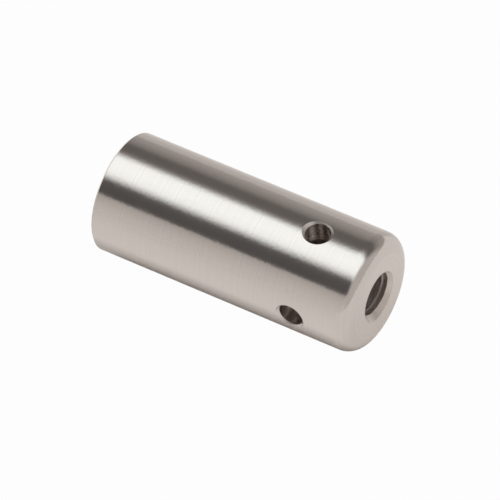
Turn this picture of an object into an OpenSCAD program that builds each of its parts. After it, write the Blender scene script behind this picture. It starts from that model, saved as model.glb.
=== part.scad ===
// Rigid sleeve shaft coupling: a plain shaft seat at the tail, a tapped socket at the nose.
// Millimetres. The sleeve's axis is the X axis, its tail face is at x = 0 and its nose is towards +X.
// Visible cross holes open towards +Z and -Y, the two set screws stand towards +Y and -Z.

/* [Sleeve] */

// Outside diameter of the sleeve
sleeve_d = 19.05; // [12:0.05:50]
// Length of the sleeve from tail face to nose face
sleeve_len = 44.8; // [25:0.05:120]
// Radius of the rounded nose edge
nose_fillet_r = 2.6; // [0.3:0.05:4]
// Chamfer on the outside edge of the tail face
tail_chamfer = 0.25; // [0.05:0.05:1.5]

/* [Shaft seat] */

// Diameter of the seat for the plain shaft
seat_d = 12.7; // [4:0.05:30]
// Depth of the seat from the tail face to its shoulder
seat_depth = 31.75; // [10:0.05:90]
// Lead-in chamfer at the mouth of the seat
seat_chamfer = 0.4; // [0.1:0.05:1.5]

/* [Nose socket] */

// Diameter of the relief between the seat and the nose wall
relief_d = 11.5; // [3:0.05:28]
// Thickness of the nose wall that carries the thread
nose_wall = 6.7; // [3:0.05:20]
// Major diameter of the nose thread
thread_d = 7.94; // [3:0.01:20]
// Diameter of the countersink at the nose face
countersink_d = 8.24; // [3:0.01:22]

/* [Cross holes] */

// Diameter of the two cross-drilled holes
cross_d = 3.97; // [2:0.01:10]
// Distance of the cross holes' axes from the nose face
cross_from_nose = 9.875; // [4:0.005:30]
// Chamfer at the mouths of the cross holes
cross_chamfer = 0.45; // [0.05:0.05:1]

/* [Set screws] */

// Distance of the set screws' axes from the tail face
screw_from_tail = 9.525; // [4:0.005:30]
// Major diameter of the set screws' thread
screw_d = 4.82; // [2:0.01:8]
// Radial clearance between a set screw and its tapped hole
screw_clearance = 0.05; // [0.02:0.01:0.1]
// Length of a set screw without its tip
screw_len = 2.15; // [1.5:0.05:10]
// Chamfer at both ends of a set screw
screw_chamfer = 0.25; // [0.05:0.05:0.6]
// Hexagon socket, across flats
socket_af = 2.38; // [1:0.01:4]
// Depth of the hexagon socket
socket_depth = 1.2; // [0.5:0.05:5]
// Chamfer at the mouths of the tapped holes
tapped_chamfer = 0.25; // [0.05:0.05:1]

/* [Set screw tips] */

// Diameter of the soft tip's pad
tip_d = 3.2; // [1:0.05:5]
// Thickness of the soft tip's pad
tip_thick = 0.5; // [0.3:0.05:3]
// Gap between the tip's pad and the seat's wall at rest
tip_retract = 0.1; // [0.02:0.01:1]
// Gap between the pad and the end of the set screw
tip_gap = 0.05; // [0.02:0.01:0.1]
// Diameter of the tip's stem
stem_d = 1.6; // [0.5:0.05:3]
// Length of the tip's stem
stem_len = 0.5; // [0.2:0.05:3]
// Radial clearance of the stem in its pocket
stem_clearance = 0.05; // [0.02:0.01:0.1]

/* [Hidden] */

$fn = 96;
overshoot = 1;
sleeve_r = sleeve_d / 2;
seat_r = seat_d / 2;
relief_r = relief_d / 2;
thread_r = thread_d / 2;
mouth_r = countersink_d / 2;
cross_r = cross_d / 2;
screw_r = screw_d / 2;
tapped_r = screw_r + screw_clearance;
wall_start_x = sleeve_len - nose_wall;
cross_x = sleeve_len - cross_from_nose;
tip_face_rho = seat_r + tip_retract;
pad_top_rho = tip_face_rho + tip_thick;
screw_end_rho = pad_top_rho + tip_gap;
screw_top_rho = screw_end_rho + screw_len;
pocket_r = stem_d / 2 + stem_clearance;
pocket_depth = stem_len - tip_gap + stem_clearance;
// Turn about the X axis that points a set screw's +Z the right way: +Y for the first, -Z for the second.
screw_1_turn = -90;
screw_2_turn = 180;

sleeve_colour = [0.74, 0.73, 0.71];
screw_colour = [0.30, 0.30, 0.31];
tip_colour = [0.80, 0.65, 0.35];

// Turns a shape built up along +Z so that it runs along +X.
module along_x() {
    rotate([0, 90, 0]) children();
}

// The outside of the sleeve before any hole: a bar with a chamfered tail edge and a rounded nose edge.
module sleeve_blank() {
    fillet_start_x = sleeve_len - nose_fillet_r;
    along_x() union() {
        cylinder(h = tail_chamfer, r1 = sleeve_r - tail_chamfer, r2 = sleeve_r);
        translate([0, 0, tail_chamfer]) cylinder(h = fillet_start_x - tail_chamfer, r = sleeve_r);
        translate([0, 0, fillet_start_x]) rotate_extrude() intersection() {
            union() {
                square([sleeve_r - nose_fillet_r, nose_fillet_r]);
                translate([sleeve_r - nose_fillet_r, 0]) circle(r = nose_fillet_r);
            }
            square([sleeve_r, nose_fillet_r]);
        }
    }
}

// The stepped hole along the axis: shaft seat, relief, threaded hole and countersink.
module axial_hole() {
    along_x() {
        translate([0, 0, -overshoot]) cylinder(h = seat_depth + overshoot, r = seat_r);
        translate([0, 0, -overshoot]) cylinder(h = overshoot + seat_chamfer, r1 = seat_r + seat_chamfer + overshoot, r2 = seat_r);
        cylinder(h = wall_start_x, r = relief_r);
        cylinder(h = sleeve_len + overshoot, r = thread_r);
        translate([0, 0, sleeve_len - (mouth_r - thread_r)])
            cylinder(h = mouth_r - thread_r + overshoot, r1 = thread_r, r2 = mouth_r + overshoot);
    }
}

// One hole drilled right across the sleeve along the Z axis, with a chamfer at each mouth.
module cross_hole() {
    cylinder(h = sleeve_d + 2 * overshoot, r = cross_r, center = true);
    for (side = [0, 180]) rotate([side, 0, 0])
        translate([0, 0, sleeve_r - cross_chamfer])
            cylinder(h = cross_chamfer + overshoot, r1 = cross_r, r2 = cross_r + cross_chamfer + overshoot);
}

// Places a set screw's own frame, +Z outwards from the sleeve's axis, at the screw's station.
module at_screw(turn) {
    translate([screw_from_tail, 0, 0]) rotate([turn, 0, 0]) children();
}

// The tapped hole for one set screw, in the screw's own frame.
module tapped_hole() {
    cylinder(h = sleeve_r + overshoot, r = tapped_r);
    translate([0, 0, sleeve_r - tapped_chamfer])
        cylinder(h = tapped_chamfer + overshoot, r1 = tapped_r, r2 = tapped_r + tapped_chamfer + overshoot);
}

// The coupling's body.
module sleeve() {
    color(sleeve_colour) difference() {
        sleeve_blank();
        axial_hole();
        translate([cross_x, 0, 0]) cross_hole();
        translate([cross_x, 0, 0]) rotate([90, 0, 0]) cross_hole();
        at_screw(screw_1_turn) tapped_hole();
        at_screw(screw_2_turn) tapped_hole();
    }
}

// A set screw in its own frame: chamfered ends, a hexagon socket above and a pocket for the tip's stem below.
module set_screw() {
    socket_r = socket_af / 2 / cos(30);
    translate([0, 0, screw_end_rho]) difference() {
        union() {
            cylinder(h = screw_chamfer, r1 = screw_r - screw_chamfer, r2 = screw_r);
            translate([0, 0, screw_chamfer]) cylinder(h = screw_len - 2 * screw_chamfer, r = screw_r);
            translate([0, 0, screw_len - screw_chamfer])
                cylinder(h = screw_chamfer, r1 = screw_r, r2 = screw_r - screw_chamfer);
        }
        translate([0, 0, screw_len - socket_depth]) cylinder(h = socket_depth + overshoot, r = socket_r, $fn = 6);
        translate([0, 0, -overshoot]) cylinder(h = overshoot + pocket_depth, r = pocket_r);
    }
}

// A soft tip in its screw's frame: a pad that bears on the shaft and a stem in the screw's pocket.
module set_screw_tip() {
    translate([0, 0, tip_face_rho]) union() {
        cylinder(h = tip_thick, r = tip_d / 2);
        translate([0, 0, tip_thick]) cylinder(h = stem_len, r = stem_d / 2);
    }
}

module set_screw_1() {
    color(screw_colour) at_screw(screw_1_turn) set_screw();
}

module set_screw_2() {
    color(screw_colour) at_screw(screw_2_turn) set_screw();
}

module set_screw_tip_1() {
    color(tip_colour) at_screw(screw_1_turn) set_screw_tip();
}

module set_screw_tip_2() {
    color(tip_colour) at_screw(screw_2_turn) set_screw_tip();
}

sleeve();
set_screw_1();
set_screw_2();
set_screw_tip_1();
set_screw_tip_2();
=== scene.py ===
"""Looks of a rigid sleeve shaft coupling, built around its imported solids.

The sleeve's axis is the X axis, with its tail face at x = 0 and its rounded nose towards +X. Sizes are in
millimetres and repeat those of the solids. Meshes are laid out in millimetres too, and scaled to metres when
they are made.
"""

import logging
import math
from collections.abc import Callable, Sequence
from dataclasses import dataclass, field
from enum import Enum
from typing import ClassVar

import bpy
import numpy as np
from mathutils import Matrix, Vector

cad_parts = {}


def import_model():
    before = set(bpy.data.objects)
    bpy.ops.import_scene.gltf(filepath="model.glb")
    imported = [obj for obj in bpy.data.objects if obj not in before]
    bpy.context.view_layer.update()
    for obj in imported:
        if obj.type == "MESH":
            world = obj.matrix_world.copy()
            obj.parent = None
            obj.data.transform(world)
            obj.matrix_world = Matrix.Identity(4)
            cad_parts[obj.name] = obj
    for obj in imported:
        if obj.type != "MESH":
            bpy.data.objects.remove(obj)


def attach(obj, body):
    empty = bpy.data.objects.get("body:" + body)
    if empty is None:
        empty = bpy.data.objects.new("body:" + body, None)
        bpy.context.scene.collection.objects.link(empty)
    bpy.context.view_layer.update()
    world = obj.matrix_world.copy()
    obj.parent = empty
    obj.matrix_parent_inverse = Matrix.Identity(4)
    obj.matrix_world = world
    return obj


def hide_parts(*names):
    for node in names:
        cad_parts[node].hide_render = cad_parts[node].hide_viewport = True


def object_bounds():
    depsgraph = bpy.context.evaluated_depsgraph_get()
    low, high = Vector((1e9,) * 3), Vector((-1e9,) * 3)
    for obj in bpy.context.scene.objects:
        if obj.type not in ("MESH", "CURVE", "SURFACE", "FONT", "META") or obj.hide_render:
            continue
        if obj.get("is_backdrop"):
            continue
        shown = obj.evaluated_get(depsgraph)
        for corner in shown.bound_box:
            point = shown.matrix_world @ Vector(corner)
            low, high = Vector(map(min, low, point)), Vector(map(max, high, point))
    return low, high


LOG = logging.getLogger("coupling")

MM = 0.001
WELD_MM = 1e-6  # points nearer than this are one point
SHORTEST = 1e-12  # keeps a length from being zero
FULL_TURN = 2.0 * math.pi

RING = 144  # faces round the sleeve
HALF = 12  # faces from a radial hole's middle to the side of its square
RIM = 8 * HALF  # faces round a radial hole or a screw

FLANK_SLOPE = math.tan(math.radians(30.0))  # width over depth of a 60 degree thread's flank
BASIC_FLANK = 0.3125  # width of one flank of the basic form, in pitches
MAJOR_FLAT = 0.125  # width of the narrow flat, in pitches

Colour = tuple[float, float, float]
Place = Callable[[np.ndarray, np.ndarray, np.ndarray], np.ndarray]
Setting = float | Sequence[float] | bpy.types.NodeSocket

NEUTRAL: Colour = (1.0, 1.0, 1.0)


class Surface(Enum):
    """The kinds of machined surface on the sleeve, in the order of its material slots."""

    TURNED = 0
    FACED = 1
    BORED = 2
    DRILLED = 3
    THREADED = 4
    COUNTERSUNK = 5


class Hand(Enum):
    """Which way a turning angle runs about the axis it is measured round."""

    WITH_AXIS = 1
    AGAINST_AXIS = -1


def add_node(
    tree: bpy.types.NodeTree, kind: str, inputs: dict[str | int, Setting] | None = None, **options: object
) -> bpy.types.Node:
    """Adds a shader node, with its options set before its inputs.

    Args:
        tree: the node tree it goes in.
        kind: the node's type, without its leading "ShaderNode".
        inputs: for each input by name or number, the socket that feeds it or the value it holds.
        options: the node's own properties.

    Returns:
        The new node.
    """
    node = tree.nodes.new("ShaderNode" + kind)
    for option, choice in options.items():
        setattr(node, option, choice)
    for key, setting in (inputs or {}).items():
        if isinstance(setting, bpy.types.NodeSocket):
            tree.links.new(setting, node.inputs[key])
        else:
            node.inputs[key].default_value = setting
    return node


def calculate(tree: bpy.types.NodeTree, operation: str, *terms: Setting) -> bpy.types.NodeSocket:
    """Adds a Math node.

    Args:
        tree: the node tree it goes in.
        operation: what the node does.
        terms: its inputs in order, each a socket or a number.

    Returns:
        The node's output.
    """
    return add_node(tree, "Math", dict(enumerate(terms)), operation=operation).outputs[0]


def shaded(level: float, tint: Colour) -> tuple[float, float, float, float]:
    """Returns an opaque colour: the tint at a level of brightness."""
    return (*(level * channel for channel in tint), 1.0)


def add_ramp(
    tree: bpy.types.NodeTree, share: bpy.types.NodeSocket, stops: Sequence[tuple[float, Sequence[float]]]
) -> bpy.types.NodeSocket:
    """Adds a colour ramp.

    Args:
        tree: the node tree it goes in.
        share: the socket that feeds it.
        stops: each stop's place, from 0 to 1, and its colour.

    Returns:
        The ramp's colour.
    """
    ramp = add_node(tree, "ValToRGB", {"Fac": share})
    elements = ramp.color_ramp.elements
    while len(elements) < len(stops):
        elements.new(0.5)
    for element, (position, colour) in zip(elements, stops, strict=True):
        element.position = position
        element.color = colour
    return ramp.outputs["Color"]


def about_x(along: np.ndarray, turn: np.ndarray, radius: np.ndarray) -> np.ndarray:
    """Places points round the X axis. A turn of 0 is towards -Y and a quarter turn is towards +Z.

    Args:
        along: distances along the axis.
        turn: turning angles in radians.
        radius: distances from the axis.

    Returns:
        The points, with the coordinates last.
    """
    along, turn, radius = np.broadcast_arrays(along, turn, radius)
    return np.stack([along, -radius * np.cos(turn), radius * np.sin(turn)], axis=-1)


@dataclass(frozen=True)
class Station:
    """A place on the sleeve where a radial hole or screw stands."""

    x: float
    turn: float

    def axes(self) -> tuple[np.ndarray, np.ndarray, np.ndarray]:
        """Works out this station's directions.

        Returns:
            The unit vectors along the sleeve, round it and outwards.
        """
        along = np.array([1.0, 0.0, 0.0])
        round_it = np.array([0.0, math.sin(self.turn), math.cos(self.turn)])
        outward = np.array([0.0, -math.cos(self.turn), math.sin(self.turn)])
        return along, round_it, outward

    def place(self, height: np.ndarray, turn: np.ndarray, radius: np.ndarray) -> np.ndarray:
        """Places points round this station's outward axis.

        Args:
            height: distances outwards from the sleeve's axis.
            turn: turning angles about the outward axis, from the sleeve's +X.
            radius: distances from the outward axis.

        Returns:
            The points, with the coordinates last.
        """
        height, turn, radius = np.broadcast_arrays(height, turn, radius)
        along, round_it, outward = self.axes()
        centre = np.array([self.x, 0.0, 0.0])
        return (
            centre
            + (radius * np.cos(turn))[..., None] * along
            + (radius * np.sin(turn))[..., None] * round_it
            + height[..., None] * outward
        )


class Shell:
    """Gathers grids of faces and welds them into one mesh with a known normal at every corner."""

    def __init__(self) -> None:
        """Starts with no faces."""
        self._points: list[np.ndarray] = []
        self._guides: list[np.ndarray] = []
        self._faces: list[np.ndarray] = []
        self._exact: list[np.ndarray] = []
        self._groups: list[np.ndarray] = []
        self._looks: list[np.ndarray] = []
        self._count = 0
        self._next_group = 0

    def add_grid(
        self,
        points: np.ndarray,
        guides: np.ndarray,
        look: int = 0,
        exact: bool = True,
        groups: np.ndarray | None = None,
    ) -> None:
        """Adds a grid of faces.

        Args:
            points: the grid's points, rows by columns by coordinates.
            guides: a vector at each point on the open side of the surface.
            look: the material slot of these faces.
            exact: whether the guides are the surface's own normals.
            groups: a smoothing group for each face, used where the guides aren't exact.
        """
        rows, columns = points.shape[:2]
        index = self._count + np.arange(rows * columns).reshape(rows, columns)
        corners = [index[:-1, :-1], index[1:, :-1], index[1:, 1:], index[:-1, 1:]]
        faces = np.stack(corners, axis=-1).reshape(-1, 4)
        if groups is None:
            groups = np.zeros((rows - 1, columns - 1), int)
        self._points.append(points.reshape(-1, 3))
        self._guides.append(np.broadcast_to(guides, points.shape).reshape(-1, 3))
        self._faces.append(faces)
        self._exact.append(np.full(len(faces), exact))
        self._groups.append(groups.reshape(-1) + self._next_group)
        self._looks.append(np.full(len(faces), look))
        self._next_group += int(groups.max()) + 1
        self._count += rows * columns

    def _corner_normals(
        self, places: np.ndarray, welded: np.ndarray, faces: np.ndarray, flat: np.ndarray
    ) -> np.ndarray:
        """Works out a normal for each corner of each face.

        Args:
            places: welded points; not used.
            welded: each face's corners as indices into places.
            faces: each face's corners before welding.
            flat: each face's own unit normal.

        Returns:
            Normals, faces by corners by coordinates.
        """
        guides = np.concatenate(self._guides)
        exact = np.concatenate(self._exact)
        groups = np.concatenate(self._groups)
        keys = welded.astype(np.int64) * self._next_group + groups[:, None]
        names, inverse = np.unique(keys, return_inverse=True)
        inverse = inverse.reshape(keys.shape)
        sums = np.zeros((len(names), 3))
        for corner in range(4):
            np.add.at(sums, inverse[:, corner], flat)
        averaged = sums[inverse]
        normals = np.where(exact[:, None, None], guides[faces], averaged)
        lengths = np.linalg.norm(normals, axis=-1, keepdims=True)
        return normals / np.maximum(lengths, SHORTEST)

    def build(self, name: str, finishes: Sequence[bpy.types.Material]) -> bpy.types.Object:
        """Welds the grids and makes the object.

        Args:
            name: the piece's name.
            finishes: its materials, in slot order.

        Returns:
            The new object, linked to the scene.
        """
        points = np.concatenate(self._points)
        faces = np.concatenate(self._faces)
        looks = np.concatenate(self._looks)
        guides = np.concatenate(self._guides)
        keys = np.round(points / WELD_MM).astype(np.int64)
        _, first, inverse = np.unique(keys, axis=0, return_index=True, return_inverse=True)
        inverse = inverse.reshape(-1)
        places = points[first]
        welded = inverse[faces]
        corners = places[welded]
        cross = np.cross(corners[:, 2] - corners[:, 0], corners[:, 3] - corners[:, 1])
        inside_out = np.einsum("ij,ij->i", cross, guides[faces].sum(axis=1)) < 0
        welded[inside_out] = welded[inside_out][:, ::-1]
        faces = faces.copy()
        faces[inside_out] = faces[inside_out][:, ::-1]
        cross[inside_out] *= -1
        normals = self._corner_normals(places, welded, faces, cross)
        polygons: list[list[int]] = []
        corner_normals: list[np.ndarray] = []
        kept_looks: list[int] = []
        for face, corners, look in zip(welded.tolist(), normals, looks.tolist(), strict=True):
            keep = [i for i in range(4) if face[i] != face[i - 1]]
            if len(keep) < 3 or len({face[i] for i in keep}) < 3:
                continue
            polygons.append([face[i] for i in keep])
            corner_normals.extend(corners[keep])
            kept_looks.append(look)
        mesh = bpy.data.meshes.new(name)
        mesh.from_pydata((places * MM).tolist(), [], polygons)
        for finish in finishes:
            mesh.materials.append(finish)
        mesh.polygons.foreach_set("material_index", kept_looks)
        mesh.polygons.foreach_set("use_smooth", [True] * len(polygons))
        mesh.normals_split_custom_set([tuple(n) for n in corner_normals])
        mesh.update()
        piece = bpy.data.objects.new(name, mesh)
        bpy.context.scene.collection.objects.link(piece)
        return piece


def lathe(
    shell: Shell,
    profile: Sequence[tuple[float, float]],
    place: Place,
    divisions: int,
    look: int = 0,
    steps: int = 1,
) -> None:
    """Turns a profile of straight lines about an axis.

    Args:
        shell: gets the faces.
        profile: (distance along the axis, radius) points. The open side is on the left of the way along them,
            where distance runs right and radius runs up.
        place: puts a distance, a turn and a radius in space.
        divisions: faces round the axis.
        look: the material slot of the faces.
        steps: faces along each line.
    """
    turns = np.linspace(0.0, FULL_TURN, divisions + 1)
    origin = place(np.zeros(1), turns, np.zeros(1))
    for (a0, r0), (a1, r1) in zip(profile[:-1], profile[1:], strict=True):
        share = np.linspace(0.0, 1.0, steps + 1)[:, None]
        points = place(a0 + (a1 - a0) * share, turns[None, :], r0 + (r1 - r0) * share)
        length = math.hypot(a1 - a0, r1 - r0)
        normal_along, normal_out = -(r1 - r0) / length, (a1 - a0) / length
        guide = place(np.full(1, normal_along), turns, np.full(1, normal_out)) - origin
        shell.add_grid(points, np.broadcast_to(guide[None], points.shape), look)


@dataclass(frozen=True)
class ThreadForm:
    """A 60 degree thread, with a wide flat at its minor radius and a narrow one at its major radius.

    The thread is moved back along its axis by lead_in pitches. Bored is the radius of the hole it was cut in.
    """

    major: float
    pitch: float
    lead_in: float = 0.0
    bored: float = 0.0
    fineness: int = 1

    @property
    def minor(self) -> float:
        """The minor radius: the hole bored before the thread was cut, or else the basic form's."""
        return max(self.bored, self.major - BASIC_FLANK * self.pitch / FLANK_SLOPE)

    def corners(self) -> list[float]:
        """Works out where the flats and flanks meet.

        Returns:
            Shares of one pitch, from the start of the flat at the minor radius.
        """
        flank = (self.major - self.minor) * FLANK_SLOPE / self.pitch
        minor_flat = 1.0 - MAJOR_FLAT - 2.0 * flank
        return [0.0, minor_flat, minor_flat + flank, minor_flat + flank + MAJOR_FLAT, 1.0]

    def phases(self) -> np.ndarray:
        """Works out where the columns of faces stand.

        Returns:
            Shares of one pitch, from the start of the flat at the minor radius.
        """
        counts = [3, 5, 2, 5]  # columns on the wide flat, a flank, the narrow flat and the other flank
        corners = self.corners()
        parts = [
            np.linspace(a, b, n * self.fineness, endpoint=False)
            for a, b, n in zip(corners[:-1], corners[1:], counts, strict=True)
        ]
        return np.concatenate(parts)

    def radius(self, phase: np.ndarray) -> np.ndarray:
        """Returns the radius at each phase, as a share of one pitch."""
        radii = [self.minor, self.minor, self.major, self.major, self.minor]
        return np.interp(np.mod(phase, 1.0), self.corners(), radii)

    def wall(
        self,
        shell: Shell,
        start: float,
        end: float,
        limit: Callable[[np.ndarray], np.ndarray],
        place: Place,
        hand: Hand,
        divisions: int,
        internal: bool,
        look: int = 0,
    ) -> None:
        """Makes a threaded wall between two planes.

        Args:
            shell: gets the faces.
            start: where the wall starts along its axis.
            end: where it ends.
            limit: gives the radius of the end cones at each distance. An internal wall never closes in past
                it, and an external one never stands out past it.
            place: puts a distance, a turn and a radius in space.
            hand: which way place turns about the axis, so that the thread comes out right-handed.
            divisions: faces round the axis.
            internal: whether the thread is in a hole.
            look: the material slot of the faces.
        """
        turns = np.linspace(0.0, FULL_TURN, divisions + 1)[:, None]
        advance = self.pitch * (hand.value * turns / FULL_TURN - self.lead_in)
        first = math.floor(start / self.pitch) - 2
        last = math.ceil(end / self.pitch) + 3
        lines = np.concatenate([turn_number + self.phases() for turn_number in range(first, last)])
        free = lines[None, :] * self.pitch + advance
        along = np.clip(free, start, end)
        phase = (along - advance) / self.pitch
        thread = self.radius(phase)
        cone = limit(along)
        radius = np.maximum(thread, cone) if internal else np.minimum(thread, cone)
        points = place(along, np.broadcast_to(turns, along.shape), radius)
        axis = place(along, np.broadcast_to(turns, along.shape), np.zeros_like(radius))
        guides = (axis - points) if internal else (points - axis)
        middle = np.mod((phase[:-1, :-1] + phase[1:, 1:]) / 2.0, 1.0)
        groups = np.digitize(middle, self.corners()[1:4])
        on_cone = (cone > thread) if internal else (cone < thread)
        mostly = (
            on_cone[:-1, :-1].astype(int) + on_cone[1:, :-1] + on_cone[:-1, 1:] + on_cone[1:, 1:]
        ) >= 3
        near_end = along[:-1, :-1] > (start + end) / 2.0
        first_cone, last_cone = 4, 5
        groups = np.where(mostly, np.where(near_end, last_cone, first_cone), groups)
        shell.add_grid(points, guides, look, exact=False, groups=groups)


@dataclass(frozen=True)
class RadialHole:
    """A round hole from the sleeve's outside to its inside, with a chamfer at its mouth."""

    station: Station
    radius: float
    chamfer: float
    outer: float
    inner: float
    half_length: float
    rounds: ClassVar[int] = 60
    rows: ClassVar[tuple[float, ...]] = (0.0, 0.06, 0.16, 0.32, 0.54, 0.77, 1.0)

    @property
    def cone_from(self) -> float:
        """How far from the sleeve's axis the chamfer starts."""
        return self.outer - self.chamfer

    def angles(self) -> np.ndarray:
        """Returns the turns round the hole, first and last the same."""
        return np.linspace(0.0, FULL_TURN, RIM + 1)

    def mouth_radius(self) -> np.ndarray:
        """Finds how wide the chamfer is where it meets the outside, by repeated steps.

        Returns:
            The radius at each angle.
        """
        side = np.sin(self.angles())
        width = np.full(RIM + 1, self.radius + self.chamfer)
        for _ in range(self.rounds):
            width = self.radius + np.sqrt(self.outer**2 - (width * side) ** 2) - self.cone_from
        return width

    def patch(self, shell: Shell, surface: float, rim: np.ndarray, outward: int, look: int) -> None:
        """Fills the square of the sleeve's surface round this hole.

        Args:
            shell: gets the faces.
            surface: the radius of the surface.
            rim: the hole's radius at each angle.
            outward: 1 on the outside of the sleeve, -1 on the inside.
            look: the material slot of the faces.
        """
        angle = self.angles()
        rim_along = rim * np.cos(angle)
        rim_turn = np.arcsin(rim * np.sin(angle) / surface)
        step = np.arange(RIM + 1)
        reach = HALF * FULL_TURN / RING
        shifted = (step + HALF) % RIM
        corner_at = [0, 2 * HALF, 4 * HALF, 6 * HALF, RIM]
        square_along = self.half_length * np.interp(shifted, corner_at, [1.0, 1.0, -1.0, -1.0, 1.0])
        square_turn = reach * np.interp(shifted, corner_at, [-1.0, 1.0, 1.0, -1.0, -1.0])
        share = np.array(self.rows)[:, None]
        along = self.station.x + rim_along * (1.0 - share) + square_along * share
        turn = self.station.turn + rim_turn * (1.0 - share) + square_turn * share
        points = about_x(along, turn, np.full_like(along, surface))
        normals = about_x(np.zeros_like(along), turn, np.full_like(along, float(outward)))
        shell.add_grid(points, normals, look)

    def open_outside(self, shell: Shell, look: int) -> None:
        """Joins the hole's mouth to the outside of the sleeve."""
        self.patch(shell, self.outer, self.mouth_radius(), 1, look)

    def open_inside(self, shell: Shell, look: int) -> None:
        """Joins the hole's inner end to the inside of the sleeve."""
        self.patch(shell, self.inner, np.full(RIM + 1, self.radius), -1, look)

    def wall(self, shell: Shell, chamfer_look: int, wall_look: int) -> None:
        """Makes the chamfer and the hole's wall.

        Args:
            shell: gets the faces.
            chamfer_look: the material slot of the chamfer.
            wall_look: the material slot of the wall.
        """
        angle = self.angles()
        mouth = self.mouth_radius()
        top = np.sqrt(self.outer**2 - (mouth * np.sin(angle)) ** 2)
        foot = np.sqrt(self.inner**2 - (self.radius * np.sin(angle)) ** 2)
        share = np.linspace(0.0, 1.0, 3)[:, None]
        height = top * (1.0 - share) + self.cone_from * share
        width = mouth * (1.0 - share) + self.radius * share
        zero = np.zeros_like(angle)
        origin = self.station.place(zero, angle, zero)
        inward = self.station.place(zero, angle, zero - 1.0) - origin
        slanted = self.station.place(zero + 1.0, angle, zero - 1.0) - origin
        cone = self.station.place(height, angle[None], width)
        shell.add_grid(cone, np.broadcast_to(slanted, cone.shape) / math.sqrt(2.0), chamfer_look)
        share = np.linspace(0.0, 1.0, 7)[:, None]
        height = self.cone_from * (1.0 - share) + foot * share
        tube = self.station.place(height, angle[None], np.full_like(height, self.radius))
        shell.add_grid(tube, np.broadcast_to(inward, tube.shape), wall_look)


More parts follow.
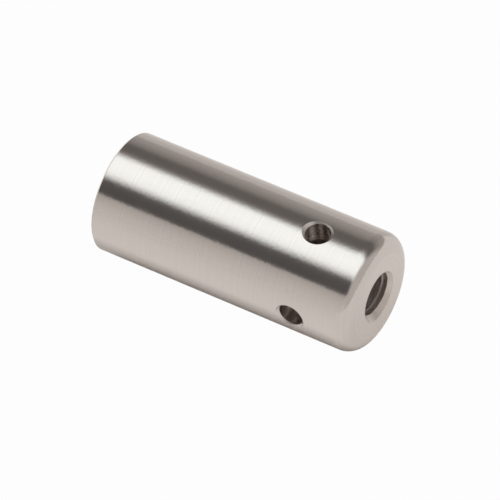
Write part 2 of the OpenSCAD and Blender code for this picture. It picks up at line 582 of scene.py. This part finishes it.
class Marks:
    """The shader node groups that several finishes share, each built once."""

    SLOW_RINGS = 0.31
    GRAIN_RINGS = 0.55
    COARSE_SHARE = 0.6
    SPECKS_PER_SMUDGE = 14.0
    SMUDGE_SPAN = (0.35, 0.7)
    SPECK_SPAN = (0.66, 0.74)

    _made: dict[str, bpy.types.NodeTree] = {}

    @staticmethod
    def _noise(tree: bpy.types.NodeTree, **inputs: Setting) -> bpy.types.NodeSocket:
        """Adds a noise, which runs along a line where its input is W and else through space.

        Args:
            tree: the group it goes in.
            inputs: its inputs by name.

        Returns:
            The noise's value.
        """
        dimensions = "1D" if "W" in inputs else "3D"
        return add_node(tree, "TexNoise", inputs, noise_dimensions=dimensions).outputs["Fac"]

    @classmethod
    def _new(
        cls, name: str, inputs: Sequence[tuple[str, str, float]], outputs: Sequence[tuple[str, str]]
    ) -> bpy.types.NodeTree:
        """Starts a node group.

        Args:
            name: the group's name.
            inputs: each input's name, socket type and default.
            outputs: each output's name and socket type.

        Returns:
            The group, with its input and output nodes named "in" and "out".
        """
        tree = bpy.data.node_groups.new(name, "ShaderNodeTree")
        for label, kind, default in inputs:
            socket = tree.interface.new_socket(label, in_out="INPUT", socket_type=kind)
            if kind == "NodeSocketFloat":
                socket.default_value = default
        for label, kind in outputs:
            tree.interface.new_socket(label, in_out="OUTPUT", socket_type=kind)
        tree.nodes.new("NodeGroupInput").name = "in"
        tree.nodes.new("NodeGroupOutput").name = "out"
        cls._made[name] = tree
        return tree

    @classmethod
    def tool_marks(cls) -> bpy.types.NodeTree:
        """Fine rings that a cutting tool leaves, one pitch apart, with scatter from ring to ring.

        Returns:
            The group. Feed is the distance the tool moves along, in metres.
        """
        name = "tool marks"
        if name in cls._made:
            return cls._made[name]
        tree = cls._new(
            name,
            [
                ("Feed", "NodeSocketFloat", 0.0),
                ("Place", "NodeSocketVector", 0.0),
                ("Rings per metre", "NodeSocketFloat", 12000.0),
                ("Wander", "NodeSocketFloat", 0.3),
                ("Grains per metre", "NodeSocketFloat", 1500.0),
            ],
            [
                ("Height", "NodeSocketFloat"),
                ("Streaks", "NodeSocketFloat"),
                ("Grain", "NodeSocketFloat"),
            ],
        )
        given, out = tree.nodes["in"].outputs, tree.nodes["out"].inputs
        drift = cls._noise(tree, Vector=given["Place"], Scale=90.0, Detail=1.0)
        wander = calculate(tree, "MULTIPLY", drift, given["Wander"])
        rings = calculate(tree, "MULTIPLY_ADD", given["Feed"], given["Rings per metre"], wander)
        fine = cls._noise(tree, W=rings, Scale=1.0, Detail=2.0, Roughness=0.7)
        slow = calculate(tree, "MULTIPLY", rings, cls.SLOW_RINGS)
        coarse = cls._noise(tree, W=slow, Scale=1.0, Detail=3.0)
        height = calculate(tree, "MULTIPLY_ADD", coarse, cls.COARSE_SHARE, fine)
        spread = add_node(
            tree, "VectorMath", {0: given["Place"], "Scale": given["Grains per metre"]}, operation="SCALE"
        )
        apart = add_node(tree, "SeparateXYZ", {"Vector": spread.outputs["Vector"]}).outputs
        squeezed = calculate(tree, "MULTIPLY", rings, cls.GRAIN_RINGS)
        dashes = add_node(tree, "CombineXYZ", {"X": squeezed, "Y": apart["Y"], "Z": apart["Z"]})
        grain = cls._noise(tree, Vector=dashes.outputs["Vector"], Scale=1.0, Detail=1.5)
        for result, label in ((height, "Height"), (coarse, "Streaks"), (grain, "Grain")):
            tree.links.new(result, out[label])
        return tree

    @classmethod
    def handling(cls) -> bpy.types.NodeTree:
        """Soft smudges and small specks from handling.

        Returns:
            The group. Smudge and Specks both run from 0 to 1.
        """
        name = "handling"
        if name in cls._made:
            return cls._made[name]
        tree = cls._new(
            name,
            [("Place", "NodeSocketVector", 0.0), ("Size", "NodeSocketFloat", 220.0)],
            [("Smudge", "NodeSocketFloat"), ("Specks", "NodeSocketFloat")],
        )
        given, out = tree.nodes["in"].outputs, tree.nodes["out"].inputs
        cloud = cls._noise(tree, Vector=given["Place"], Scale=given["Size"], Detail=4.0, Roughness=0.55)
        finer = calculate(tree, "MULTIPLY", given["Size"], cls.SPECKS_PER_SMUDGE)
        dots = cls._noise(tree, Vector=given["Place"], Scale=finer, Detail=1.0)
        for value, (low, high), label in (
            (cloud, cls.SMUDGE_SPAN, "Smudge"),
            (dots, cls.SPECK_SPAN, "Specks"),
        ):
            span = add_node(tree, "MapRange", {"Value": value, "From Min": low, "From Max": high})
            tree.links.new(span.outputs["Result"], out[label])
        return tree


class Feed(Enum):
    """Which way the tool moved over a surface."""

    ALONG_X = "along the sleeve"
    FROM_AXIS = "out from the sleeve's axis"


@dataclass(frozen=True)
class MachinedMetal:
    """A bare metal surface with the marks of the tool that cut it."""

    name: str
    colour: Colour
    shade: Colour
    roughness: float
    rough_spread: float
    rings_per_metre: float
    mark_depth: float
    feed: Feed = Feed.ALONG_X
    stretch: float = 0.0
    grain_depth: float = 0.0
    streak_span: tuple[float, float] = (0.3, 0.7)
    streak_shade: float = 0.45
    speck_shade: float = 0.5
    smudge_share: float = 0.5

    def _way_of_feed(self, tree: bpy.types.NodeTree, place: bpy.types.NodeSocket) -> bpy.types.NodeSocket:
        """Adds the distance that the tool moves along.

        Args:
            tree: the material's node tree.
            place: the place on the sleeve.

        Returns:
            The distance in metres.
        """
        split = add_node(tree, "SeparateXYZ", {"Vector": place}).outputs
        if self.feed is Feed.ALONG_X:
            return split["X"]
        flat = add_node(tree, "CombineXYZ", {"Y": split["Y"], "Z": split["Z"]})
        length = add_node(tree, "VectorMath", {0: flat.outputs["Vector"]}, operation="LENGTH")
        return length.outputs["Value"]

    def _colour(
        self, tree: bpy.types.NodeTree, streaks: bpy.types.NodeSocket, specks: bpy.types.NodeSocket
    ) -> bpy.types.NodeSocket:
        """Adds the metal's colour, which is darker in streaks and specks.

        Args:
            tree: the material's node tree.
            streaks: how strong the streak is at a place.
            specks: how strong the speck is.

        Returns:
            The colour.
        """
        low, high = self.streak_span
        streak = add_node(
            tree,
            "MapRange",
            {"Value": streaks, "From Min": low, "From Max": high, "To Max": self.streak_shade},
        )
        darker = calculate(tree, "MULTIPLY_ADD", specks, self.speck_shade, streak.outputs["Result"])
        ends = {"Factor": darker, "A": shaded(1.0, self.colour), "B": shaded(1.0, self.shade)}
        return add_node(tree, "Mix", ends, data_type="RGBA").outputs["Result"]

    def _roughness(
        self, tree: bpy.types.NodeTree, streaks: bpy.types.NodeSocket, smudge: bpy.types.NodeSocket
    ) -> bpy.types.NodeSocket:
        """Adds the metal's roughness, which rises in streaks and smudges.

        Args:
            tree: the material's node tree.
            streaks: how strong the streak is at a place.
            smudge: how strong the smudge is.

        Returns:
            The roughness.
        """
        part = calculate(tree, "MULTIPLY", streaks, 1.0 - self.smudge_share)
        blend = calculate(tree, "MULTIPLY_ADD", smudge, self.smudge_share, part)
        span = {"Value": blend, "To Min": self.roughness, "To Max": self.roughness + self.rough_spread}
        return add_node(tree, "MapRange", span).outputs["Result"]

    def material(self) -> bpy.types.Material:
        """Builds the finish.

        Returns:
            A new material.
        """
        made = bpy.data.materials.new(self.name)
        made.use_nodes = True
        tree = made.node_tree
        tree.nodes.clear()
        place = add_node(tree, "TexCoord").outputs["Object"]
        cut = {
            "Feed": self._way_of_feed(tree, place),
            "Place": place,
            "Rings per metre": self.rings_per_metre,
        }
        marks = add_node(tree, "Group", cut, node_tree=Marks.tool_marks()).outputs
        touch = add_node(tree, "Group", {"Place": place}, node_tree=Marks.handling()).outputs
        relief = {"Strength": 1.0, "Distance": self.mark_depth * MM, "Height": marks["Height"]}
        normal = add_node(tree, "Bump", relief).outputs["Normal"]
        if self.grain_depth > 0.0:
            relief = {"Strength": 1.0, "Distance": self.grain_depth * MM, "Height": marks["Grain"]}
            normal = add_node(tree, "Bump", relief | {"Normal": normal}).outputs["Normal"]
        metal = add_node(
            tree,
            "BsdfPrincipled",
            {
                "Base Color": self._colour(tree, marks["Streaks"], touch["Specks"]),
                "Metallic": 1.0,
                "Roughness": self._roughness(tree, marks["Streaks"], touch["Smudge"]),
                "Normal": normal,
                "Anisotropic": self.stretch,
            },
        )
        if self.stretch > 0.0:
            tangent = add_node(tree, "Tangent", direction_type="RADIAL", axis="X")
            tree.links.new(tangent.outputs["Tangent"], metal.inputs["Tangent"])
        add_node(tree, "OutputMaterial", {"Surface": metal.outputs["BSDF"]})
        return made


@dataclass
class Sleeve:
    """The coupling's body: a turned bar with a seat, a relief, a tapped nose, cross holes and screw holes."""

    radius: float = 9.525
    length: float = 44.8
    nose_fillet: float = 2.6
    tail_chamfer: float = 0.25
    seat_radius: float = 6.35
    seat_depth: float = 31.75
    seat_chamfer: float = 0.4
    relief_radius: float = 5.75
    nose_wall: float = 6.7
    mouth_radius: float = 4.12
    thread: ThreadForm = ThreadForm(major=3.97, pitch=1.4111, lead_in=0.08, bored=3.27, fineness=2)
    run_out_radius: float = 4.05
    cross_radius: float = 1.985
    cross_from_nose: float = 9.875
    cross_chamfer: float = 0.45
    screw_x: float = 9.525
    tapped_radius: float = 2.46
    tapped_chamfer: float = 0.25
    station_half: float = 4.2
    fillet_rows: int = 17
    finishes: list[MachinedMetal] = field(default_factory=list)

    def cross_holes(self, half_length: float) -> list[RadialHole]:
        """Lists the four mouths of the two cross-drilled holes.

        Args:
            half_length: how far along the sleeve each mouth's square runs, either way.

        Returns:
            The holes, in order of their turn.
        """
        x = self.length - self.cross_from_nose
        turns = [0.0, 0.5 * math.pi, math.pi, 1.5 * math.pi]
        size = (self.cross_radius, self.cross_chamfer, self.radius, self.relief_radius, half_length)
        return [RadialHole(Station(x, turn), *size) for turn in turns]

    def screw_stations(self) -> list[Station]:
        """Returns where the two set screws stand."""
        return [Station(self.screw_x, math.pi), Station(self.screw_x, 1.5 * math.pi)]

    def tapped_holes(self) -> list[RadialHole]:
        """Returns the two set-screw holes."""
        size = (self.tapped_radius, self.tapped_chamfer, self.radius, self.seat_radius, self.station_half)
        return [RadialHole(station, *size) for station in self.screw_stations()]

    @staticmethod
    def plain_band(
        shell: Shell, radius: float, start: float, end: float, outward: int, look: int, spacing: float = 0.9
    ) -> None:
        """Makes a whole ring of cylinder.

        Args:
            shell: gets the faces.
            radius: the cylinder's radius.
            start: where it starts along X.
            end: where it ends.
            outward: 1 on the outside of the sleeve, -1 on the inside.
            look: the material slot of the faces.
            spacing: about how long each face is.
        """
        rows = max(1, round((end - start) / spacing))
        along = np.linspace(start, end, rows + 1)[:, None]
        turns = np.linspace(0.0, FULL_TURN, RING + 1)[None, :]
        points = about_x(along, turns, np.full(1, radius))
        normals = about_x(np.zeros_like(along), turns, np.full(1, float(outward)))
        shell.add_grid(points, normals, look)

    @staticmethod
    def between_holes(
        shell: Shell, radius: float, holes: Sequence[RadialHole], outward: int, look: int
    ) -> None:
        """Makes the rest of a ring of cylinder that holes' squares are cut from.

        Args:
            shell: gets the faces.
            radius: the cylinder's radius.
            holes: the holes of one station, in order of their turn.
            outward: 1 on the outside of the sleeve, -1 on the inside.
            look: the material slot of the faces.
        """
        step = FULL_TURN / RING
        centres = [round(hole.station.turn / step) for hole in holes]
        x, half = holes[0].station.x, holes[0].half_length
        along = (x + half * np.linspace(-1.0, 1.0, 2 * HALF + 1))[:, None]
        for here, after in zip(centres, [*centres[1:], centres[0] + RING], strict=True):
            turns = (np.arange(here + HALF, after - HALF + 1) * step)[None, :]
            points = about_x(along, turns, np.full(1, radius))
            normals = about_x(np.zeros_like(along), turns, np.full(1, float(outward)))
            shell.add_grid(points, normals, look)

    def build(self) -> bpy.types.Object:
        """Makes the sleeve's mesh.

        Returns:
            The sleeve, dressed in its finishes.
        """
        shell = Shell()
        turned, faced, bored = Surface.TURNED.value, Surface.FACED.value, Surface.BORED.value
        cross_x = self.length - self.cross_from_nose
        wall_x = self.length - self.nose_wall
        fillet_x = self.length - self.nose_fillet
        outside, half = self.radius, self.station_half
        tail_edge = outside - self.tail_chamfer
        seat, seat_edge = self.seat_radius, self.seat_radius + self.seat_chamfer
        tapped, crossing = self.tapped_holes(), self.cross_holes(half)
        inner_crossing = self.cross_holes((wall_x - self.seat_depth) / 2.0)
        lathe(shell, [(0.0, seat_edge), (0.0, tail_edge)], about_x, RING, faced, steps=4)
        lathe(shell, [(0.0, tail_edge), (self.tail_chamfer, outside)], about_x, RING, faced, steps=2)
        self.plain_band(shell, outside, self.tail_chamfer, self.screw_x - half, 1, turned)
        self.between_holes(shell, outside, tapped, 1, turned)
        self.plain_band(shell, outside, self.screw_x + half, cross_x - half, 1, turned)
        self.between_holes(shell, outside, crossing, 1, turned)
        self.plain_band(shell, outside, cross_x + half, fillet_x, 1, turned)
        for hole in [*tapped, *crossing]:
            hole.open_outside(shell, turned)
        for hole in [*tapped, *crossing]:
            hole.wall(shell, Surface.COUNTERSUNK.value, Surface.DRILLED.value)
        self._nose(shell, fillet_x)
        run_out = [(wall_x, self.run_out_radius), (wall_x, self.relief_radius)]
        lathe(shell, run_out, about_x, RING, bored, steps=2)
        for hole in inner_crossing:
            hole.open_inside(shell, bored)
        self.between_holes(shell, self.relief_radius, inner_crossing, -1, bored)
        shoulder = [(self.seat_depth, self.relief_radius), (self.seat_depth, seat)]
        lathe(shell, shoulder, about_x, RING, bored)
        self.plain_band(shell, seat, self.screw_x + half, self.seat_depth, -1, bored)
        self.between_holes(shell, seat, tapped, -1, bored)
        for hole in tapped:
            hole.open_inside(shell, bored)
        self.plain_band(shell, seat, self.seat_chamfer, self.screw_x - half, -1, bored)
        lathe(shell, [(self.seat_chamfer, seat), (0.0, seat_edge)], about_x, RING, faced, steps=2)
        piece = shell.build("sleeve_body", [finish.material() for finish in self.finishes])
        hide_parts("sleeve")
        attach(piece, "sleeve")
        return piece

    def _nose(self, shell: Shell, fillet_x: float) -> None:
        """Makes the rounded nose edge, the nose face, the countersink and the thread.

        Args:
            shell: gets the faces.
            fillet_x: where the rounded edge starts along X.
        """
        bend = np.linspace(0.0, 0.5 * math.pi, self.fillet_rows)[:, None]
        turns = np.linspace(0.0, FULL_TURN, RING + 1)[None, :]
        along = fillet_x + self.nose_fillet * np.sin(bend)
        radius = self.radius - self.nose_fillet + self.nose_fillet * np.cos(bend)
        normals = about_x(np.sin(bend), turns, np.cos(bend))
        shell.add_grid(about_x(along, turns, radius), normals, Surface.TURNED.value)
        end = self.length
        face = [(end, self.radius - self.nose_fillet), (end, self.mouth_radius)]
        lathe(shell, face, about_x, RING, Surface.FACED.value, steps=5)
        start = end - self.nose_wall

        def cones(at: np.ndarray) -> np.ndarray:
            """Returns the wider of the countersink's and the run-out's radius at each distance."""
            return np.maximum(self.mouth_radius - (end - at), self.run_out_radius - (at - start))

        look = Surface.THREADED.value
        self.thread.wall(shell, start, end, cones, about_x, Hand.AGAINST_AXIS, RING, True, look)


@dataclass
class SetScrew:
    """A headless set screw with a hexagon socket, an external thread and a soft tip that turns in its end."""

    number: int
    station: Station
    thread: ThreadForm = ThreadForm(major=2.41, pitch=0.79375)
    foot: float = 7.0
    length: float = 2.15
    chamfer: float = 0.25
    socket_flats: float = 2.38
    socket_depth: float = 1.2
    socket_lead: float = 0.1
    socket_point: float = 0.12
    pocket_radius: float = 0.85
    pocket_depth: float = 0.5
    tip_face: float = 6.45
    tip_radius: float = 1.6
    tip_thick: float = 0.5
    tip_edge: float = 0.08
    stem_radius: float = 0.8
    stem_length: float = 0.5

    def _hexagon(self, flats: float, height: float) -> np.ndarray:
        """Lays out a hexagon round the screw's axis.

        Args:
            flats: its width across flats.
            height: how far it is from the sleeve's axis.

        Returns:
            A closed loop of points.
        """
        turns = np.linspace(0.0, FULL_TURN, RIM + 1)
        off_flat = np.mod(turns, math.pi / 3.0) - math.pi / 6.0
        reach = flats / 2.0 / np.cos(off_flat)
        return self.station.place(np.full_like(turns, height), turns, reach)

    def _socket(self, shell: Shell) -> None:
        """Makes the screw's outer end with its hexagon socket.

        Args:
            shell: gets the faces.
        """
        top = self.foot + self.length
        turns = np.linspace(0.0, FULL_TURN, RIM + 1)
        _, _, outward = self.station.axes()
        edge = self.station.place(
            np.full_like(turns, top), turns, np.full_like(turns, self.thread.major - self.chamfer)
        )
        wide = self._hexagon(self.socket_flats + 2.0 * self.socket_lead, top)
        share = np.linspace(0.0, 1.0, 4)[:, None, None]
        face = edge * (1.0 - share) + wide * share
        shell.add_grid(face, np.broadcast_to(outward, face.shape))
        mouth = self._hexagon(self.socket_flats, top - self.socket_lead)
        floor = self._hexagon(self.socket_flats, top - self.socket_depth)
        sides = np.repeat(np.arange(6), RIM // 6)
        axis = self.station.place(np.zeros(1), turns, np.zeros(1))
        for upper, lower, steps in ((wide, mouth, 1), (mouth, floor, 3)):
            share = np.linspace(0.0, 1.0, steps + 1)[:, None, None]
            wall = upper * (1.0 - share) + lower * share
            guides = axis - wall + outward * top
            groups = np.broadcast_to(sides, (steps, RIM)).copy()
            shell.add_grid(wall, guides, 0, exact=False, groups=groups)
        point = top - self.socket_depth - self.socket_point
        centre = np.broadcast_to(
            self.station.place(np.full(1, point), np.zeros(1), np.zeros(1)), floor.shape
        )
        share = np.linspace(0.0, 1.0, 5)[:, None, None]
        pit = floor * (1.0 - share) + centre * share
        shell.add_grid(pit, np.broadcast_to(outward, pit.shape), 0, exact=False)

    def build_screw(self, finish: bpy.types.Material) -> bpy.types.Object:
        """Makes the threaded screw.

        Args:
            finish: its material.

        Returns:
            The screw, riding on its own body.
        """
        shell = Shell()
        top = self.foot + self.length
        narrow = self.thread.major - self.chamfer

        def cones(at: np.ndarray) -> np.ndarray:
            """Returns the narrower of the two end chamfers' radii at each distance."""
            return np.minimum(narrow + (at - self.foot), narrow + (top - at))

        self.thread.wall(
            shell, self.foot, top, cones, self.station.place, Hand.WITH_AXIS, RIM, False
        )
        self._socket(shell)
        ceiling = self.foot + self.pocket_depth
        under = [
            (ceiling, 0.0),
            (ceiling, self.pocket_radius),
            (self.foot, self.pocket_radius),
            (self.foot, narrow),
        ]
        lathe(shell, under, self.station.place, RIM, steps=2)
        piece = shell.build(f"set_screw_{self.number}_threaded", [finish])
        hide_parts(f"set_screw_{self.number}")
        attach(piece, f"screw_{self.number}")
        return piece

    def build_tip(self, finish: bpy.types.Material) -> bpy.types.Object:
        """Makes the soft tip.

        Args:
            finish: its material.

        Returns:
            The tip, riding on its own body.
        """
        shell = Shell()
        low, high = self.tip_face, self.tip_face + self.tip_thick
        edge = self.tip_edge
        top = high + self.stem_length
        profile = [
            (low, 0.0),
            (low, self.tip_radius - edge),
            (low + edge, self.tip_radius),
            (high - edge, self.tip_radius),
            (high, self.tip_radius - edge),
            (high, self.stem_radius),
            (top - edge, self.stem_radius),
            (top, self.stem_radius - edge),
            (top, 0.0),
        ]
        lathe(shell, profile, self.station.place, RIM, steps=2)
        piece = shell.build(f"set_screw_tip_{self.number}_turned", [finish])
        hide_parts(f"set_screw_tip_{self.number}")
        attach(piece, f"tip_{self.number}")
        return piece


@dataclass(frozen=True)
class Studio:
    """A white sweep under one long overhead softbox, with a card in front and a dim wall behind."""

    floor_half: float = 6.0
    floor_white: float = 0.86
    glow_reach: float = 0.1
    glow_past_nose: tuple[float, float] = (43.5, 46.0)
    nose_glow: float = 0.17
    floor_tint: Colour = (1.05, 1.0, 0.97)
    paint: Colour = (1.10, 0.99, 0.94)
    lamp: Colour = (1.0, 1.0, 0.985)
    lamp_from: float = 0.8
    side_wall: float = 0.50
    side_from: tuple[float, float] = (0.50, 0.80)
    backdrop: float = 0.983
    lens: float = 396.0
    sensor: float = 36.0
    clip: tuple[float, float] = (0.01, 50.0)
    distance: float = 0.826
    camera_lean: float = 22.5
    camera_lift: float = 55.75
    camera_slope: float = 22.6
    aim_left: float = 0.06
    aim_down: float = 0.99

    @staticmethod
    def brightness() -> list[tuple[float, float]]:
        """Lists the room's brightness against the angle round the X axis, from the front, up and to the back.

        Returns:
            The angles in degrees, each with its brightness.
        """
        return [
            (-180.0, 0.55),
            (-90.0, 0.55),
            (-4.0, 0.62),
            (10.0, 0.59),
            (24.0, 0.51),
            (33.0, 0.44),
            (35.6, 0.09),
            (40.0, 0.085),
            (55.0, 0.095),
            (61.0, 0.12),
            (72.0, 0.98),
            (78.0, 1.21),
            (92.0, 1.28),
            (109.0, 1.25),
            (113.5, 1.0),
            (121.0, 0.27),
            (128.0, 0.135),
            (144.0, 0.13),
            (154.0, 0.24),
            (168.0, 0.335),
            (180.0, 0.38),
        ]

    @staticmethod
    def floor_glow() -> list[tuple[float, float]]:
        """Lists the light that the floor adds against the distance behind the sleeve's axis.

        Returns:
            The distances in millimetres, each with its light.
        """
        return [
            (-100.0, 0.12),
            (-30.0, 0.18),
            (-15.0, 0.20),
            (-8.5, 0.0),
            (-2.5, 0.02),
            (0.5, 0.22),
            (4.5, 0.24),
            (12.0, 0.20),
            (26.0, 0.15),
            (55.0, 0.03),
            (100.0, 0.0),
        ]

    @staticmethod
    def _for_camera(
        tree: bpy.types.NodeTree, lit: bpy.types.NodeSocket, seen: bpy.types.NodeSocket
    ) -> bpy.types.NodeSocket:
        """Adds the choice between what lights the part and what stands behind it.

        Args:
            tree: the node tree it goes in.
            lit: the shader that the part gets its light from.
            seen: the shader that shows in the background.

        Returns:
            The chosen shader.
        """
        path = add_node(tree, "LightPath")
        ends = {"Fac": path.outputs["Is Camera Ray"], 1: lit, 2: seen}
        return add_node(tree, "MixShader", ends).outputs["Shader"]

    def build_world(self) -> bpy.types.World:
        """Makes the room's light.

        Returns:
            The scene's world.
        """
        world = bpy.data.worlds.new("studio")
        bpy.context.scene.world = world
        world.use_nodes = True
        tree = world.node_tree
        tree.nodes.clear()
        place = add_node(tree, "TexCoord")
        way = add_node(tree, "SeparateXYZ", {"Vector": place.outputs["Generated"]}).outputs
        sideways = calculate(tree, "ABSOLUTE", way["X"])
        low, high = self.side_from
        reach = add_node(
            tree,
            "MapRange",
            {"Value": sideways, "From Min": low, "From Max": high},
            interpolation_type="SMOOTHSTEP",
        )
        front = calculate(tree, "MULTIPLY", way["Y"], -1.0)
        turn = calculate(tree, "ARCTAN2", way["Z"], front)
        share = add_node(tree, "MapRange", {"Value": turn, "From Min": -math.pi, "From Max": math.pi})
        top = max(value for _, value in self.brightness())
        stops = [
            (
                (angle + 180.0) / 360.0,
                shaded(value / top, self.lamp if value > self.lamp_from else self.paint),
            )
            for angle, value in self.brightness()
        ]
        sides = add_node(
            tree,
            "Mix",
            {
                "Factor": reach.outputs["Result"],
                "A": add_ramp(tree, share.outputs["Result"], stops),
                "B": shaded(self.side_wall / top, self.paint),
            },
            data_type="RGBA",
        )
        room = add_node(tree, "Background", {"Color": sides.outputs["Result"], "Strength": top})
        paper = add_node(tree, "Background", {"Color": shaded(self.backdrop, NEUTRAL)})
        chosen = self._for_camera(tree, room.outputs["Background"], paper.outputs["Background"])
        add_node(tree, "OutputWorld", {"Surface": chosen})
        return world

    def _floor_light(self, tree: bpy.types.NodeTree) -> bpy.types.NodeSocket:
        """Adds the light that the floor gives off, which fades under the sleeve and comes back past its nose.

        Args:
            tree: the floor material's node tree.

        Returns:
            The light's shader.
        """
        place = add_node(tree, "TexCoord")
        split = add_node(tree, "SeparateXYZ", {"Vector": place.outputs["Object"]}).outputs
        reach = self.glow_reach
        share = add_node(tree, "MapRange", {"Value": split["Y"], "From Min": -reach, "From Max": reach})
        stops = [
            (0.5 + 0.5 * back * MM / reach, shaded(value, self.floor_tint))
            for back, value in self.floor_glow()
        ]
        low, high = self.glow_past_nose
        past_nose = add_node(
            tree, "MapRange", {"Value": split["X"], "From Min": low * MM, "From Max": high * MM}
        )
        spread = add_node(
            tree,
            "Mix",
            {
                "Factor": past_nose.outputs["Result"],
                "A": add_ramp(tree, share.outputs["Result"], stops),
                "B": shaded(self.nose_glow, self.floor_tint),
            },
            data_type="RGBA",
        )
        return add_node(tree, "Emission", {"Color": spread.outputs["Result"]}).outputs[0]

    def build_floor(self, height: float) -> bpy.types.Object:
        """Makes the floor, which is clear from below.

        Args:
            height: the floor's height in metres.

        Returns:
            The floor, marked as no part of the object.
        """
        half = self.floor_half
        mesh = bpy.data.meshes.new("floor")
        corners = [(-half, -half), (half, -half), (half, half), (-half, half)]
        mesh.from_pydata([(x, y, height) for x, y in corners], [], [(0, 1, 2, 3)])
        floor = bpy.data.objects.new("floor", mesh)
        bpy.context.scene.collection.objects.link(floor)
        paper = bpy.data.materials.new("white paper")
        paper.use_nodes = True
        tree = paper.node_tree
        tree.nodes.clear()
        matte = add_node(tree, "BsdfDiffuse", {"Color": shaded(self.floor_white, self.floor_tint)})
        lit = add_node(tree, "AddShader", {0: matte.outputs[0], 1: self._floor_light(tree)})
        bright = add_node(tree, "Emission", {"Color": shaded(self.backdrop, NEUTRAL)})
        chosen = self._for_camera(tree, lit.outputs[0], bright.outputs[0])
        side = add_node(tree, "NewGeometry")
        clear = add_node(tree, "BsdfTransparent")
        ends = {"Fac": side.outputs["Backfacing"], 1: chosen, 2: clear.outputs[0]}
        see = add_node(tree, "MixShader", ends)
        add_node(tree, "OutputMaterial", {"Surface": see.outputs[0]})
        mesh.materials.append(paper)
        floor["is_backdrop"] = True
        return floor

    def build_camera(self, middle: Vector) -> bpy.types.Object:
        """Makes the camera, seen from the nose side, above and in front.

        Args:
            middle: the middle of the sleeve's axis in metres.

        Returns:
            The scene's camera.
        """
        lean, lift = math.radians(self.camera_lean), math.radians(self.camera_lift)
        slope = math.radians(self.camera_slope)
        back = Vector((math.sin(lean), -math.cos(lean) * math.cos(lift), math.cos(lean) * math.sin(lift)))
        axis = Vector((1.0, 0.0, 0.0))
        shown_axis = (axis - axis.dot(back) * back).normalized()
        right = Matrix.Rotation(slope, 3, back) @ shown_axis
        up = back.cross(right)
        data = bpy.data.cameras.new("camera")
        data.sensor_width = self.sensor
        data.lens = self.lens
        data.clip_start, data.clip_end = self.clip
        camera = bpy.data.objects.new("camera", data)
        bpy.context.scene.collection.objects.link(camera)
        aim = middle - right * (self.aim_left * MM) - up * (self.aim_down * MM)
        place = aim + back * self.distance
        turned = Matrix((right, up, back)).transposed().to_4x4()
        camera.matrix_world = Matrix.Translation(place) @ turned
        bpy.context.scene.camera = camera
        return camera


def steel_finishes() -> list[MachinedMetal]:
    """Lists the sleeve's finishes.

    Returns:
        The finishes, in the order of Surface.
    """
    bright, shade = (0.735, 0.722, 0.698), (0.68, 0.662, 0.636)
    return [
        MachinedMetal(
            "turned steel",
            colour=bright,
            shade=shade,
            roughness=0.09,
            rough_spread=0.06,
            rings_per_metre=9000.0,
            mark_depth=0.002,
            stretch=0.5,
            grain_depth=0.012,
        ),
        MachinedMetal(
            "faced steel",
            # colour and shade set lighter than the turned steel's: painted light that brightens the nose
            # face, and with it every faced surface
            colour=(0.775, 0.753, 0.733),
            shade=(0.72, 0.697, 0.676),
            roughness=0.20,
            rough_spread=0.10,
            rings_per_metre=7000.0,
            mark_depth=0.0015,
            feed=Feed.FROM_AXIS,
        ),
        MachinedMetal(
            "bored steel",
            colour=(0.76, 0.715, 0.68),
            shade=(0.66, 0.60, 0.56),
            roughness=0.30,
            rough_spread=0.12,
            rings_per_metre=5000.0,
            mark_depth=0.002,
        ),
        MachinedMetal(
            "drilled steel",
            colour=(0.74, 0.695, 0.66),
            shade=(0.60, 0.54, 0.50),
            roughness=0.23,
            rough_spread=0.12,
            rings_per_metre=4000.0,
            mark_depth=0.002,
            feed=Feed.FROM_AXIS,
        ),
        MachinedMetal(
            "cut thread",
            colour=(0.74, 0.70, 0.67),
            shade=(0.62, 0.57, 0.54),
            roughness=0.30,
            rough_spread=0.08,
            rings_per_metre=6000.0,
            mark_depth=0.001,
        ),
        MachinedMetal(
            "countersunk steel",
            colour=bright,
            shade=shade,
            roughness=0.30,
            rough_spread=0.12,
            rings_per_metre=5000.0,
            mark_depth=0.002,
            feed=Feed.FROM_AXIS,
        ),
    ]


def screw_finish() -> MachinedMetal:
    """Returns the set screws' finish, a dark plated steel."""
    return MachinedMetal(
        "screw steel",
        colour=(0.46, 0.44, 0.42),
        shade=(0.36, 0.34, 0.33),
        roughness=0.24,
        rough_spread=0.12,
        rings_per_metre=5000.0,
        mark_depth=0.001,
    )


def tip_finish() -> MachinedMetal:
    """Returns the soft tips' finish, a bare brass."""
    return MachinedMetal(
        "tip brass",
        colour=(0.80, 0.60, 0.30),
        shade=(0.70, 0.50, 0.22),
        roughness=0.22,
        rough_spread=0.12,
        rings_per_metre=8000.0,
        mark_depth=0.001,
    )


def main() -> None:
    """Builds the coupling and its studio."""
    logging.basicConfig(level=logging.INFO, format="%(message)s")
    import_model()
    low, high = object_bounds()
    bpy.context.scene.view_settings.view_transform = "Standard"
    studio = Studio()
    studio.build_camera((low + high) / 2.0)
    studio.build_world()
    studio.build_floor(float(low[2]))
    sleeve = Sleeve(finishes=steel_finishes())
    piece = sleeve.build()
    LOG.info("%s: %d faces", piece.name, len(piece.data.polygons))
    screw_steel, tip_brass = screw_finish().material(), tip_finish().material()
    for number, station in enumerate(sleeve.screw_stations(), start=1):
        screw = SetScrew(number, station)
        for piece in (screw.build_screw(screw_steel), screw.build_tip(tip_brass)):
            LOG.info("%s: %d faces", piece.name, len(piece.data.polygons))
    low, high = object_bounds()


if __name__ == "__main__":
    main()
